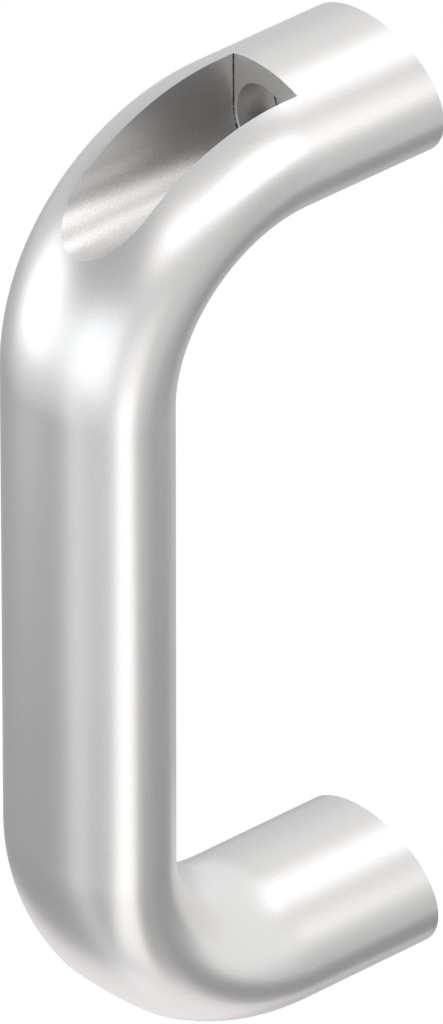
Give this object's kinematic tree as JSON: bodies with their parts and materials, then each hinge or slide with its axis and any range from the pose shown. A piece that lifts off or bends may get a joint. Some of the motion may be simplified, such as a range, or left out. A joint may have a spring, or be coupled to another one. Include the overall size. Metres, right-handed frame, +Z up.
{
  "type": "bow handle",
  "caption": "Oval-section metal bow handle bent from one bar, with a screw-access slot milled into each bend so that it bolts on from the operator's side.",
  "frame": {"origin": "on the mounting face of the feet, half way between the two screw holes", "axes": "+Z up the grip from the lower foot to the upper one, +Y out of the feet into the panel, -Y from the feet to the operator, X across the hand"},
  "size_m": [0.026, 0.053, 0.134],
  "materials": {
    "anodised_aluminium": "satin, natural anodised"
  },
  "bodies": {
    "root": {"bow_handle": "anodised_aluminium"}
  },
  "joints": []
}
